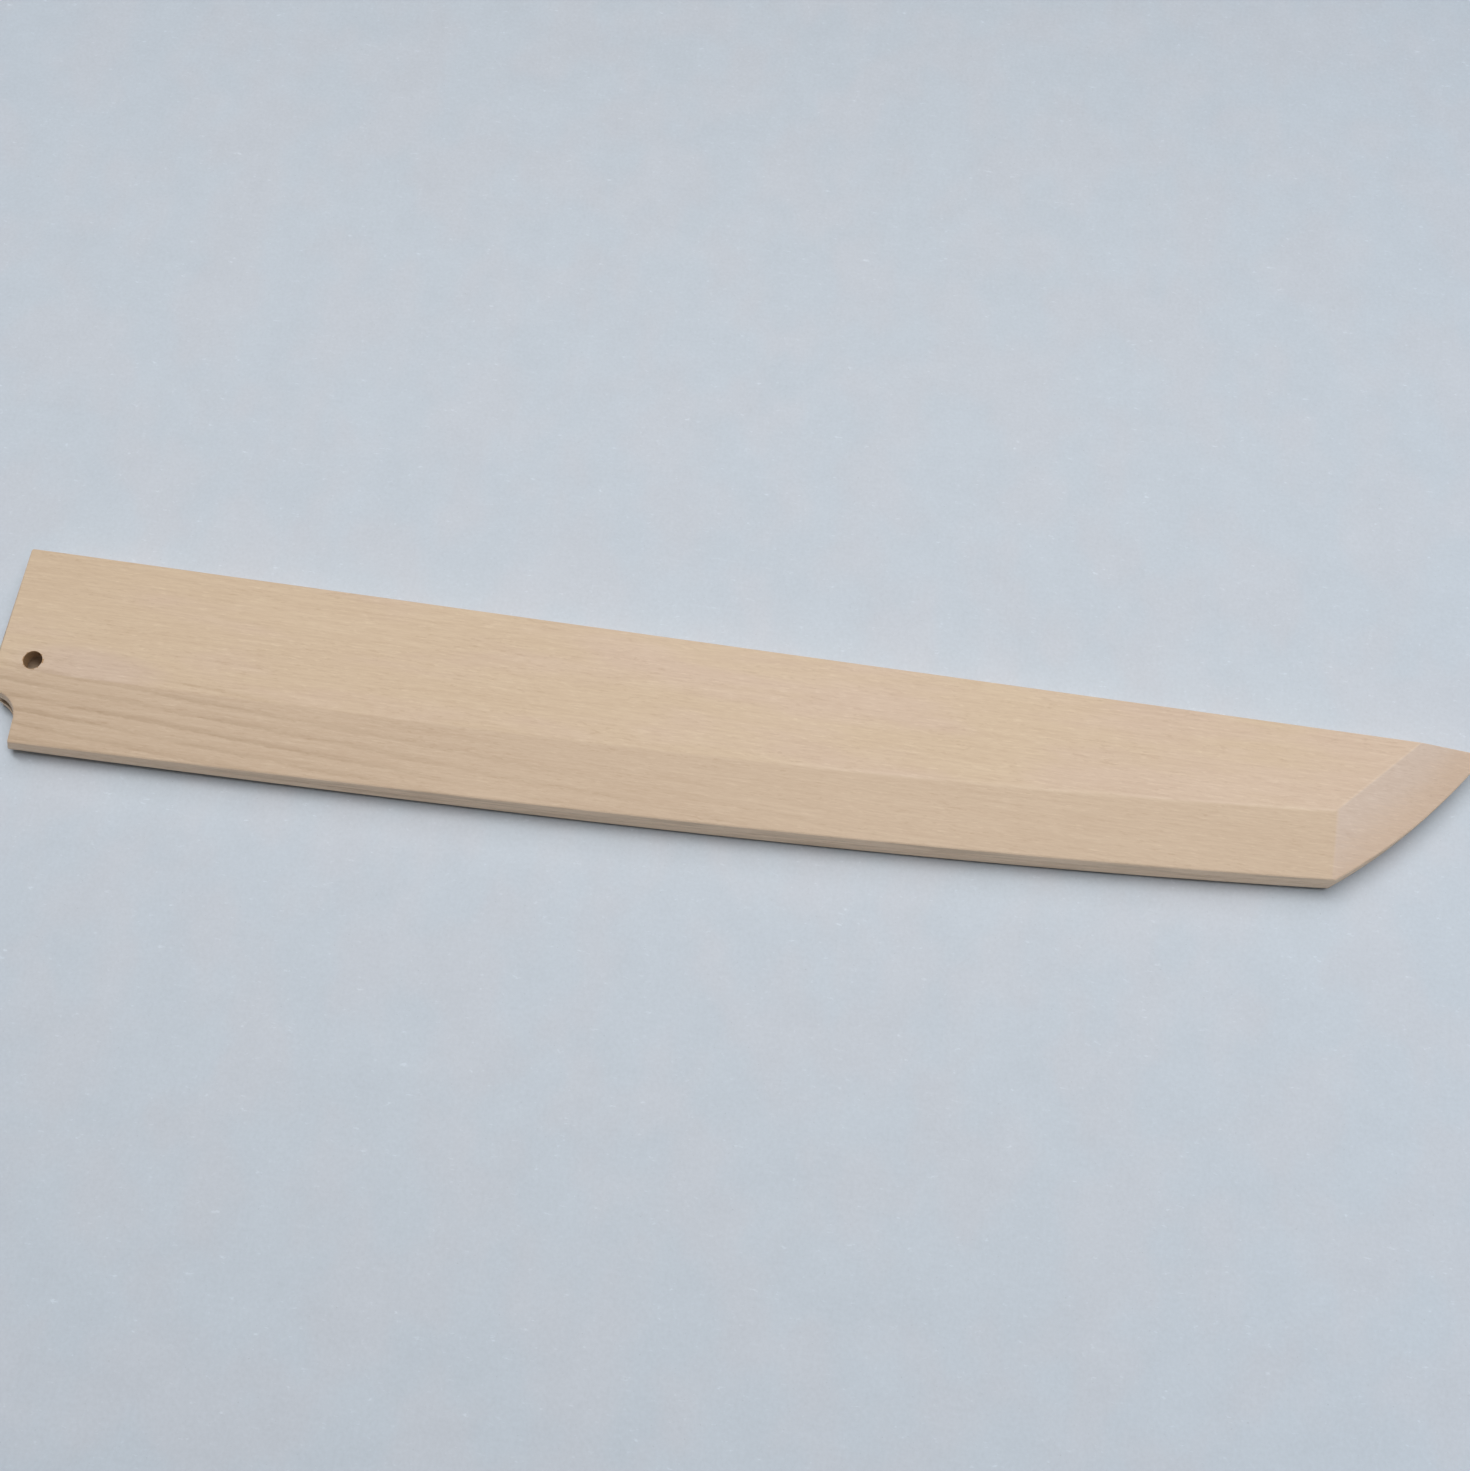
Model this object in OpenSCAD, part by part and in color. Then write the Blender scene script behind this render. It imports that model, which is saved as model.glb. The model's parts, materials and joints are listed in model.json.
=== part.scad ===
// Sheath for a long single-bevel slicing knife, made of two carved boards glued
// together on their flat inner faces. The mouth is at -X, the tip at +X, the
// straight spine side at +Y and the side of the cutting edge at -Y. The sheath
// lies on its back board, with the middle of its outline at X = 0, Y = 0.

/* [Outline] */
// Overall length, from the mouth to the nose of the tip
length = 310; // [240:1:360]
// Greatest width, just behind the heel notch
width = 43.5; // [40:0.5:60]
// Width at the corner where the slanted tip begins
corner_width = 31.9; // [26:0.1:36]
// Length of the slanted tip, from that corner to the nose
tip_length = 29; // [22:0.5:40]
// How far the slanted tip edge bows out from a straight line
tip_bow = 1.75; // [0.5:0.05:4]
// Width of the blunt nose
nose_width = 1; // [0.5:0.1:3]
// Share of the edge side's taper that is spread evenly; the rest comes near the tip
even_taper = 0.5; // [0:0.05:1]

/* [Thickness] */
// Thickness between the two flat faces
thickness = 9; // [8:0.1:14]
// Height of the glue seam above the back face
seam_height = 4.5; // [4:0.1:5]
// Thickness of the edge side at the mouth
edge_mouth = 4.6; // [3.5:0.1:6]
// Thickness of the edge side at the tip corner
edge_corner = 6; // [4:0.1:7]
// Extra thickness of the edge side halfway between those two
edge_swell = 1.7; // [0:0.1:2]
// Thickness of the edge side at the nose
edge_nose = 4.6; // [3.5:0.1:6]
// Size of the softened corners along the outside edges
arris = 0.5; // [0.2:0.1:1]
// Size of the softened corners across the mouth, as a share of those along the edges
mouth_softness = 0.6; // [0.3:0.05:0.9]

/* [Slopes] */
// Width of the sloping face at the mouth
slope_mouth = 15.6; // [10:0.1:18]
// Width of the sloping face at the tip corner
slope_corner = 14.3; // [10:0.1:18]
// How far the crease from the ridge to the tip corner leans towards the tip
crease_lean = 1; // [0:0.1:4]
// Distance from the nose back to the point where the tip ridge meets the spine
ridge_end = 13.2; // [8:0.1:18]

/* [Knife slot] */
// Wall left along the spine side
spine_wall = 4; // [3:0.1:6]
// Wall left along the edge side
edge_wall = 7.3; // [6:0.1:9]
// Wall left along the slanted tip edge
tip_wall = 6; // [5:0.1:9]
// Depth of the flat-bottomed recess in the back board
back_depth = 2.1; // [1:0.1:2.3]
// Depth of the front board's recess where the blade is at its thickest
front_depth = 2.2; // [1.2:0.1:2.4]
// Distance from the spine side to the line where the blade's bevel begins
bevel_from_spine = 22; // [14:0.5:26]

/* [Heel notch] */
// Depth of the notch, from the mouth towards the tip
notch_depth = 6.7; // [6:0.1:9]
// Distance from the spine side to the upper side of the notch
notch_top = 33.2; // [32:0.1:35]
// Radius of the notch's inner corner
notch_radius = 5.2; // [2:0.1:5.5]

/* [Pin hole] */
// Diameter of the retaining pin's hole
pin_d = 4; // [3:0.1:5]
// Distance from the mouth to the middle of the pin hole
pin_from_mouth = 7.7; // [5:0.1:20]
// Distance from the spine side to the middle of the pin hole
pin_from_spine = 25.4; // [15:0.1:25.6]

/* [Hidden] */

$fn = 96;
// Facets in a full turn of the long tip arc
arc_fn = 720;
// Steps along the edge side and along the slanted tip
edge_steps = 20;
tip_steps = 10;
// How far a cutter runs past the wood that it trims
over = 2;
// How far a planed face is carried up past its ridge, as a share of its width
ridge_over = 0.04;
// Places past the two ends of the planed face, where the cutter starts and stops
t_start = -0.04;
s_stop = 1.1;

// The outline is drawn with the mouth at X = 0 and the spine at Y = 0
corner_x = length - tip_length;
corner = [corner_x, -corner_width];
nose = [length, -nose_width];

// The tip edge is an arc over the chord from the corner to the nose
chord = norm(nose - corner);
tip_radius = (chord * chord / 4 + tip_bow * tip_bow) / (2 * tip_bow);
chord_dir = (nose - corner) / chord;
chord_out = [chord_dir[1], -chord_dir[0]];
tip_centre = (corner + nose) / 2 - chord_out * (tip_radius - tip_bow);
corner_angle = atan2(corner[1] - tip_centre[1], corner[0] - tip_centre[0]);
nose_angle = atan2(nose[1] - tip_centre[1], nose[0] - tip_centre[0]);

function mix(a, b, t) = a + (b - a) * t;
function ease_out(t) = 1 - pow(1 - t, 2);

// Along the edge side t runs from 0 at the notch to 1 at the tip corner
function edge_x(t) = mix(notch_depth, corner_x, t);
function edge_y(t) = -mix(width, corner_width, mix(pow(t, 3), t, even_taper));
function edge_thickness(t) = mix(edge_mouth, edge_corner, t) + 4 * edge_swell * t * (1 - t);
function slope_width(t) = mix(slope_mouth, slope_corner, ease_out(t));

// Along the slanted tip s runs from 0 at the corner to 1 at the nose
function tip_point(s) =
    let (a = mix(corner_angle, nose_angle, s))
    tip_centre + tip_radius * [cos(a), sin(a)];

// A planed face is ruled between a ridge on the flat face and a rim on the outline.
// Each station holds the ridge point, the rim point and the drop from one to the other.
ridge_corner = [corner_x - crease_lean, slope_corner - corner_width];
ridge_spine = [length - ridge_end, 0];
t_list = [t_start, for (i = [0:edge_steps - 1]) i / edge_steps];
s_list = [for (i = [0:tip_steps]) i / tip_steps, s_stop];
stations = concat(
    [for (t = t_list)
        [[edge_x(t) - crease_lean * t, edge_y(t) + slope_width(t)],
         [edge_x(t), edge_y(t)],
         (thickness - edge_thickness(t)) / 2]],
    [for (s = s_list)
        [mix(ridge_corner, ridge_spine, s),
         tip_point(s),
         (thickness - mix(edge_corner, edge_nose, s)) / 2]]);

// Five points of the cutter's section at one station, from the inner top round to the outer top
function section(station) =
    let (ridge = station[0], rim = station[1], drop = station[2])
    let (run = norm(rim - ridge), dir = (rim - ridge) / run, fall = drop / run)
    let (start = -ridge_over * run, stop = run + over, bend = run - arris)
    [for (p = [[start, thickness + over],
               [start, thickness - fall * start],
               [bend, thickness - fall * bend],
               [stop, thickness - fall * bend - (stop - bend)],
               [stop, thickness + over]])
        [ridge[0] + dir[0] * p[0], ridge[1] + dir[1] * p[0], p[1]]];

// A closed skin over a row of like sections, as triangles
module skin(sections) {
    n = len(sections[0]);
    last = len(sections) - 1;
    sides = [for (i = [0:last - 1]) for (k = [0:n - 1])
        let (a = i * n + k, b = i * n + (k + 1) % n)
        each [[a, b, a + n], [b, b + n, a + n]]];
    ends = [for (k = [1:n - 2]) each [[0, k + 1, k], [last * n, last * n + k, last * n + k + 1]]];
    polyhedron(points = [for (s = sections) each s], faces = concat(sides, ends));
}

// Wood planed off the front face: the long slope, the tip facet and their soft outer corner
module planing() {
    skin([for (s = stations) section(s)]);
}

// Soft corners along the straight spine side and across the mouth
module soft_corners() {
    spine_side = arris * sqrt(2);
    mouth_side = spine_side * mouth_softness;
    translate([-over, 0, thickness])
        rotate([45, 0, 0])
            translate([0, -spine_side / 2, -spine_side / 2])
                cube([length + 2 * over, spine_side, spine_side]);
    translate([0, over, thickness])
        rotate([0, 45, 0])
            translate([-mouth_side / 2, -width - 2 * over, -mouth_side / 2])
                cube([mouth_side, width + 2 * over, mouth_side]);
}

// Plan of the sheath, moved inwards by a wall on each side but the mouth
module sheath_plan(spine_in, edge_in, tip_in) {
    edge = [for (i = [0:edge_steps]) [edge_x(i / edge_steps), edge_y(i / edge_steps) + edge_in]];
    difference() {
        polygon(concat([[-over, -spine_in], [-over, edge_in - width]], edge,
                       [[length - tip_in, edge_in - corner_width], [length - tip_in, -spine_in]]));
        difference() {
            translate([tip_centre[0], -width - over])
                square([length, width + 2 * over]);
            translate(tip_centre)
                circle(r = tip_radius - tip_in, $fn = arc_fn);
        }
    }
}

// The notch that clears the heel of the blade at the mouth
module heel_notch() {
    run = width - notch_top + over;
    translate([-over, -width - over])
        square([notch_depth - notch_radius + over, run]);
    translate([-over, -width - over])
        square([notch_depth + over, run - notch_radius]);
    translate([notch_depth - notch_radius, -notch_top - notch_radius])
        circle(r = notch_radius);
}

// A board's blank between two heights, cut square at the mouth
module blank(bottom, top) {
    translate([0, 0, bottom])
        linear_extrude(top - bottom)
            difference() {
                sheath_plan(0, 0, 0);
                translate([-2 * over, -width - over])
                    square([2 * over, width + 2 * over]);
                heel_notch();
            }
}

// The blade's space between two heights
module blade_space(bottom, top) {
    translate([0, 0, bottom])
        linear_extrude(top - bottom)
            sheath_plan(spine_wall, edge_wall, tip_wall);
}

// The front recess is flat over the thick part of the blade, and from the line of the
// blade's bevel its roof falls to the seam at the mouth's edge side
module front_recess() {
    fall = atan(front_depth / (width - edge_wall - bevel_from_spine));
    intersection() {
        blade_space(seam_height - over, seam_height + front_depth);
        translate([0, -bevel_from_spine, seam_height + front_depth])
            rotate([fall, 0, 0])
                translate([-length, -2 * width, -thickness])
                    cube([3 * length, 4 * width, thickness]);
    }
}

module pin_hole() {
    translate([pin_from_mouth, -pin_from_spine, -over])
        cylinder(d = pin_d, h = thickness + 2 * over);
}

// Moves the drawn outline so that its middle lies at X = 0, Y = 0
module centred() {
    translate([-length / 2, width / 2, 0])
        children();
}

// The upper board: flat, long slope and tip facet outside, recess for the bevelled side inside
module front_board() {
    color("burlywood")
        centred()
            difference() {
                blank(seam_height, thickness);
                planing();
                soft_corners();
                front_recess();
                pin_hole();
            }
}

// The lower board: the same outside turned over, recess for the blade's flat back inside
module back_board() {
    color("tan")
        centred()
            difference() {
                blank(0, seam_height);
                translate([0, 0, thickness])
                    mirror([0, 0, 1]) {
                        planing();
                        soft_corners();
                    }
                blade_space(seam_height - back_depth, seam_height + over);
                pin_hole();
            }
}

front_board();
back_board();
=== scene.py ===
"""Wooden sheath for a long slicing knife: two carved boards on a plain studio floor."""
import json
import math

import bmesh
import bpy
import numpy as np
from mathutils import Matrix, Vector


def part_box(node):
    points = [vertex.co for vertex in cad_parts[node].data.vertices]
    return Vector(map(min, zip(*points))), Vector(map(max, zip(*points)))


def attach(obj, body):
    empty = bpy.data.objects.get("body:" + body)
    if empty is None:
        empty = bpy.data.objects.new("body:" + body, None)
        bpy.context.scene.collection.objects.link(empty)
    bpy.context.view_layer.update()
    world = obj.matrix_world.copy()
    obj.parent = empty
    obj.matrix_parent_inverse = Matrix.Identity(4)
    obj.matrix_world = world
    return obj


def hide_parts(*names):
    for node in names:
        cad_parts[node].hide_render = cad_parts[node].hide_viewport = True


bl_info = {
    "name": "Wooden Knife Sheath",
    "version": (1, 0, 0),
    "blender": (4, 5, 0),
    "location": "3D View > Sidebar > Sheath",
    "description": "Builds the two carved boards of a knife sheath, with their wood and a studio stage",
    "category": "Add Mesh",
}

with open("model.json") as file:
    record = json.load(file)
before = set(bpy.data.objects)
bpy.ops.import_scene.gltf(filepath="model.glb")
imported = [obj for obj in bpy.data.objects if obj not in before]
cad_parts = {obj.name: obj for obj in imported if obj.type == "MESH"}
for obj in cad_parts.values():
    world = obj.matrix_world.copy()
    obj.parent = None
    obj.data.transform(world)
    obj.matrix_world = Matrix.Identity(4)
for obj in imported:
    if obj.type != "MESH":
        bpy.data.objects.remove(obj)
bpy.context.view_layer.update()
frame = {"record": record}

MM = 0.001
FRONT_LOW, FRONT_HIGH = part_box("front_board")
BACK_LOW, BACK_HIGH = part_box("back_board")
PIN_HOLE = next(m for m in frame["record"]["mounts"] if m["name"] == "pin_hole")


def size(name, description, default):
    """A length in the panel, from its default in metres."""
    return bpy.props.FloatProperty(name=name, description=description, default=default,
                                   unit="LENGTH", precision=5)


def share(name, description, default):
    """A plain number in the panel."""
    return bpy.props.FloatProperty(name=name, description=description, default=default)


def power(name, description, default):
    """The power of a light in the panel, in watts."""
    return bpy.props.FloatProperty(name=name, description=description, default=default,
                                   unit="POWER")


def colour(name, description, default):
    """A colour in the panel, from its default in linear red, green and blue."""
    return bpy.props.FloatVectorProperty(name=name, description=description, default=default,
                                         subtype="COLOR", size=3, min=0, max=1)


class SheathSizes(bpy.types.PropertyGroup):
    """Sizes of the two boards"""

    length: size("Length", "From the mouth to the nose of the tip", FRONT_HIGH.x - FRONT_LOW.x)
    width: size("Width", "Greatest width, behind the heel notch", FRONT_HIGH.y - FRONT_LOW.y)
    thickness: size("Thickness", "Between the two flat faces", FRONT_HIGH.z - BACK_LOW.z)
    seam: size("Seam height", "Height of the glue seam above the back face", FRONT_LOW.z)
    corner_width: size("Corner width", "Width where the slanted tip begins", 31.9 * MM)
    tip_length: size("Tip length", "Length of the slanted tip", 29 * MM)
    tip_bow: size("Tip bow", "How far the slanted tip edge bows out", 1.75 * MM)
    nose_width: size("Nose width", "Width of the blunt nose", 1 * MM)
    even_taper: share("Even taper", "Share of the edge side's taper that is spread evenly", 0.5)
    edge_mouth: size("Edge at the mouth", "Thickness of the edge side at the mouth", 4.6 * MM)
    edge_corner: size("Edge at the corner", "Thickness of the edge side at the tip corner", 6 * MM)
    edge_swell: size("Edge swell", "Extra thickness of the edge side halfway along", 1.7 * MM)
    edge_nose: size("Edge at the nose", "Thickness of the edge side at the nose", 4.6 * MM)
    slope_mouth: size("Slope at the mouth", "Width of the sloping face at the mouth", 15.6 * MM)
    slope_corner: size("Slope at the corner", "Width of the sloping face at the corner", 14.3 * MM)
    crease_lean: size("Crease lean", "How far the corner crease leans to the tip", 1 * MM)
    ridge_end: size("Ridge end", "From the nose back to where the tip ridge ends", 13.2 * MM)
    notch_depth: size("Notch depth", "Depth of the heel notch from the mouth", 6.7 * MM)
    notch_top: size("Notch top", "From the spine side to the notch's upper side", 33.2 * MM)
    notch_radius: size("Notch radius", "Radius of the notch's inner corner", 5.2 * MM)
    notch_slant: share("Notch slant", "Move of the notch's wall to the mouth for each unit down", 0.36)
    spine_wall: size("Spine wall", "Wall left along the spine side", 4 * MM)
    edge_wall: size("Edge wall", "Wall left along the edge side", 7.3 * MM)
    tip_wall: size("Tip wall", "Wall left along the slanted tip edge", 6 * MM)
    back_depth: size("Back recess", "Depth of the recess in the back board", 2.1 * MM)
    front_depth: size("Front recess", "Depth of the recess in the front board", 2.2 * MM)
    bevel_from_spine: size("Bevel line", "From the spine side to the blade's bevel", 22 * MM)
    edge_round: size("Edge rounding", "Softened corners along the front's outside edges", 0.3 * MM)
    under_round: size("Lower rounding", "Softened corners along the back's outside edges", 0.16 * MM)
    mouth_round: size("Mouth rounding", "Softened corners across the mouth", 0.25 * MM)
    notch_round: size("Notch rounding", "Softened corners round the heel notch", 0.22 * MM)
    seam_round: size("Seam rounding", "Softened corners along the glue seam", 0.07 * MM)
    ridge_round: size("Ridge rounding", "How far the creases are worn down", 0.035 * MM)
    rim_round: size("Hole rounding", "Softened rim of the pin hole", 0.14 * MM)
    gouge_round: size("Gouge rounding", "Rounded inner corners of the recess", 0.7 * MM)


class WoodLook(bpy.types.PropertyGroup):
    """Colours and grain of the wood"""

    pale: colour("Pale wood", "Early wood of the flat face", (0.671, 0.515, 0.362))
    rosy: colour("Rosy wood", "Pinker patches of the flat face", (0.668, 0.507, 0.380))
    blush: colour("Blush", "Pinker patch beside the pin hole", (0.655, 0.502, 0.394))
    # Partly the planed wood's own tone and partly painted shade: the long slope is coloured darker than
    # the flat face.
    slope: colour("Planed slope", "Wood of the long slope", (0.622, 0.470, 0.335))
    facet: colour("Tip facet", "Wood near the tip ridge, cut across the grain", (0.633, 0.5, 0.407))
    golden: colour("Golden end", "Wood along the slanted tip edge", (0.618, 0.464, 0.35))
    # Painted light: the sides are coloured paler than the faces' wood, standing for light that falls on
    # them.
    side: colour("Side", "Sawn wood of the thin sides", (0.89, 0.675, 0.49))
    # Partly the end grain's own tone and partly painted shade: the wall of the pin hole is coloured
    # dark.
    bored: colour("Bored wood", "Wall of the pin hole, cut across the grain", (0.47, 0.295, 0.157))
    dark: colour("Growth line", "Late wood between two growth rings", (0.41, 0.285, 0.18))
    back: colour("Back board", "Early wood of the back board", (0.61, 0.48, 0.355))
    ring_gap: share("Ring spacing", "Distance between growth lines in millimetres", 3.25)
    ring_lean: share("Ring lean", "How far the growth lines run across for each unit along", 0.052)
    ring_start: share("Ring start", "Place of one growth line's dark edge in millimetres", 2.3)


class StageLook(bpy.types.PropertyGroup):
    """Camera, light and floor"""

    focal: bpy.props.FloatProperty(name="Focal length", description="Lens of the camera",
                                   default=45.918, unit="CAMERA")
    floor: colour("Floor", "Pale floor", (0.597, 0.655, 0.72))
    floor_warm: colour("Warm floor", "Warmer patches of the floor", (0.612, 0.652, 0.71))
    # Painted shade: how fast the floor is darkened away from the sheath.
    falloff: share("Floor falloff",
                   "Distance in millimetres at which the floor, darkened with no limit, is black", 620)
    window: power("Window", "Power of the broad soft light overhead", 8.05)
    strip: power("Strip", "Power of the narrow soft light overhead", 8.55)
    front: power("Front", "Power of the weak soft light low in front", 1.45)
    light_length: size("Light length", "Length of the soft lights", 1.4)
    sky: share("Fill light", "Strength of the light from all round", 0.085)
    sky_colour: colour("Fill colour", "Colour of the light from all round", (0.96, 0.98, 1.0))


def mix(a, b, t):
    """The value a share t of the way from a to b."""
    return a + (b - a) * t


def unit(v):
    """Vectors made one long."""
    return v / np.linalg.norm(v, axis=-1, keepdims=True)


def spokes(angle):
    """Plan directions at these angles."""
    return np.stack([np.cos(angle), np.sin(angle)], axis=-1)


def turned_right(v):
    """The plan direction a quarter turn clockwise of v."""
    return np.stack([v[..., 1], -v[..., 0]], axis=-1)


def soft_min(a, b, soft):
    """The smaller of two heights, rounded off where they meet: their mean, less half the root
    of their squared difference plus the squared softness."""
    return (a + b) / 2 - np.sqrt((a - b) ** 2 + soft ** 2) / 2


def stations(stops, counts):
    """Places along a path, in even steps between each stop and the next."""
    legs = [np.linspace(a, b, n, endpoint=False) for a, b, n in zip(stops, stops[1:], counts)]
    return np.append(np.concatenate(legs), stops[-1])


class Path:
    """A closed path in plan, walked with the wood on its left. Each point has the direction
    that faces out of the wood and the size of the softened corner there."""

    CORNER_STEPS = 17
    CORNER_RADII = {"mouth": 0.6 * MM, "notch": 0.35 * MM, "heel": 0.45 * MM,
                    "tip": 0.7 * MM, "nose": 0.55 * MM, "spine": 0.55 * MM}

    def __init__(self):
        self.stretches = []
        self.names = {}

    def curve(self, name, points, out, soft):
        """Adds a stretch, and names the places where it starts and ends."""
        first = sum(len(stretch) for stretch in self.stretches)
        points, out = np.broadcast_arrays(np.atleast_2d(points), out)
        soft = np.broadcast_to(soft, len(points))
        self.stretches.append(np.column_stack([points, out, soft]))
        self.names.update({name + "_start": first, name: first + len(points) // 2,
                           name + "_end": first + len(points) - 1})

    def corner(self, name, at, out_before, out_after, soft_before, soft_after):
        """Adds an arc that touches both sides of a corner, as its out direction turns from
        that of one side to that of the other."""
        radius = self.CORNER_RADII[name]
        before, after = np.array(out_before), np.array(out_after)
        turn = math.acos(before @ after)
        angle = math.atan2(before[1], before[0]) + np.linspace(0, turn, self.CORNER_STEPS)
        centre = np.array(at) - radius * (before + after) / (1 + before @ after)
        soft = np.linspace(soft_before, soft_after, self.CORNER_STEPS)
        self.curve(name, centre + radius * spokes(angle), spokes(angle), soft)

    def close(self):
        """Measures the lengths to all points, and turns the names into lengths."""
        self.table = np.concatenate(self.stretches)
        step = np.linalg.norm(np.roll(self.table[:, :2], -1, axis=0) - self.table[:, :2], axis=1)
        self.lengths = np.append(0, np.cumsum(step)[:-1])
        self.total = step.sum()
        self.names = {name: self.lengths[i] for name, i in self.names.items()}
        return self

    def at(self, length, inset):
        """Points at these lengths, moved inwards by a share of the soft corner, whose size
        rises and falls a little along the way, as on edges broken by hand."""
        x, y, out_x, out_y, soft = (
            np.interp(length, self.lengths, column, period=self.total) for column in self.table.T)
        turn = 2 * math.pi * length / self.total
        soft = soft * (1 + 0.05 * (np.sin(11 * turn) + np.sin(29 * turn + 1)))
        points = np.stack([x - inset * soft * out_x, y - inset * soft * out_y], axis=-1)
        return points, soft


class Form:
    """Shape of the sheath, drawn with the mouth at x = 0 and the spine side at y = 0.
    edge_round is the size of the softened corners along its outside edges."""

    def __init__(self, sizes, edge_round):
        self.s = s = sizes
        self.edge_round = edge_round
        self.corner = np.array([s.length - s.tip_length, -s.corner_width])
        self.nose = np.array([s.length, -s.nose_width])
        half = (self.nose - self.corner) / 2
        reach = np.linalg.norm(half)
        self.tip_radius = (reach ** 2 + s.tip_bow ** 2) / (2 * s.tip_bow)
        out = turned_right(half / reach)
        self.tip_centre = self.corner + half - out * (self.tip_radius - s.tip_bow)
        self.tip_from, self.tip_to = (
            math.atan2(*(p - self.tip_centre)[::-1]) for p in (self.corner, self.nose))
        self.ridge_corner = self.corner + [-s.crease_lean, s.slope_corner]
        self.ridge_spine = np.array([s.length - s.ridge_end, 0.0])
        self.run = self.corner[0] - s.notch_depth

    def edge_y(self, t):
        """The edge side narrows from the notch, t = 0, to the tip corner, t = 1, partly in
        proportion to t and partly to its cube."""
        return -mix(self.s.width, self.s.corner_width, mix(t ** 3, t, self.s.even_taper))

    def slope_width(self, t):
        """The slope narrows from the notch to the tip corner, fast at first: by one less the
        square of what is left of t."""
        return mix(self.s.slope_mouth, self.s.slope_corner, 1 - (1 - t) ** 2)

    def slope_drop(self, t):
        """How far the rim lies below the flat face: half of what the edge side is thinner."""
        s = self.s
        edge = mix(s.edge_mouth, s.edge_corner, t) + 4 * s.edge_swell * t * (1 - t)
        return (s.thickness - edge) / 2

    def tip_edge(self, k):
        """The slanted tip is an arc, from the corner, k = 0, to the nose, k = 1."""
        return self.tip_centre + self.tip_radius * spokes(mix(self.tip_from, self.tip_to, k))

    def long_ridge(self, x):
        """Points of the ridge between the flat face and the long slope."""
        t = (x - self.s.notch_depth) / (self.run - self.s.crease_lean)
        return np.stack([x, self.edge_y(t) + self.slope_width(t)], axis=-1)

    def slope_height(self, x, y):
        """Height of the long slope, which is ruled between the ridge and the rim. The line
        through a place and the share v of the way along it are found by turns."""
        v = np.full_like(x, 0.5)
        for _ in range(4):
            t = (x - self.s.notch_depth) / (self.run - self.s.crease_lean * (1 - v))
            v = (self.edge_y(t) + self.slope_width(t) - y) / self.slope_width(t)
        return self.s.thickness - self.slope_drop(t) * v

    def facet_height(self, x, y):
        """Height of the tip facet, ruled between the tip ridge and the slanted edge. The line
        through a place is found by halving a range of k. Well behind the facet's first line
        the facet lies far above the wood and plays no part."""
        s = self.s
        behind, beyond = -0.1, 1.3
        place = np.stack([x, y], axis=-1)
        low, high = np.full_like(x, behind), np.full_like(x, beyond)
        for _ in range(36):
            k = (low + high) / 2
            ridge = mix(self.ridge_corner, self.ridge_spine, k[..., None])
            line, way = self.tip_edge(k) - ridge, place - ridge
            ahead = line[..., 0] * way[..., 1] > line[..., 1] * way[..., 0]
            low, high = np.where(ahead, k, low), np.where(ahead, high, k)
        v = np.sum(way * line, axis=-1) / np.sum(line ** 2, axis=-1)
        drop = (s.thickness - mix(s.edge_corner, s.edge_nose, k)) / 2 * v
        return s.thickness - np.where(low > behind, drop, -s.thickness)

    def height(self, x, y):
        """The outside is the lowest of the flat face, the long slope and the tip facet."""
        soft = self.s.ridge_round
        planed = soft_min(self.slope_height(x, y), self.facet_height(x, y), soft)
        return soft_min(planed, self.s.thickness, soft)

    def slanted(self, points, z):
        """Gives points their height z. The heel notch is cut at a slant, so the points round it
        move towards the mouth in proportion to how far they lie below the front face. The move
        fades out towards the long ridge and the tip, and takes at most nine tenths of the way to
        a strip along the mouth that stays in place."""
        s = self.s
        fade = [s.notch_depth + 0.5 * MM, s.notch_depth + 8 * MM]
        strip, most = 0.3 * MM, 0.9
        x, y = points[..., 0], points[..., 1]
        ridge = s.slope_mouth - s.width
        across = np.clip((ridge - y) / (ridge + s.notch_top), 0, 1)
        along = np.interp(x, fade, [1, 0])
        move = s.notch_slant * (self.height(x, y) - z) * across * along
        x = x - np.minimum(move, most * np.maximum(x - strip, 0))
        return np.stack([x, y, z], axis=-1)

    def outline(self):
        """The sheath's outline, with straight sides, the hollow of the notch, the tapering edge
        side, the tip arc, and a small arc at each corner."""
        s, soft = self.s, self.edge_round
        hollow_steps, edge_steps, heel_share = 40, 400, 0.7
        inside = slice(4, -4)
        path = Path()
        path.corner("mouth", (0, 0), (0, 1), (-1, 0), soft, s.mouth_round)
        path.curve("ridge_mouth", self.long_ridge(np.zeros(1)), (-1, 0), s.mouth_round)
        path.corner("notch", (0, -s.notch_top), (-1, 0), (0, -1), s.mouth_round, s.notch_round)
        hollow = spokes(np.linspace(math.pi / 2, 0, hollow_steps))
        centre = np.array([s.notch_depth - s.notch_radius, -s.notch_top - s.notch_radius])
        path.curve("hollow", centre + s.notch_radius * hollow, -hollow, s.notch_round)
        path.corner("heel", (s.notch_depth, -s.width), (-1, 0), (0, -1),
                    s.notch_round, soft * heel_share)
        t = np.linspace(0, 1, edge_steps)
        edge = np.stack([mix(s.notch_depth, self.corner[0], t), self.edge_y(t)], axis=-1)
        edge_out = unit(turned_right(np.gradient(edge, axis=0)))
        path.curve("edge", edge[1:-1], edge_out[1:-1], soft)
        tip = self.tip_edge(t)
        tip_out = unit(tip - self.tip_centre)
        path.corner("tip", self.corner, edge_out[-1], tip_out[0], soft, soft)
        path.curve("arc", tip[inside], tip_out[inside], soft)
        path.corner("nose", self.nose, tip_out[-1], (1, 0), soft, soft)
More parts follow.
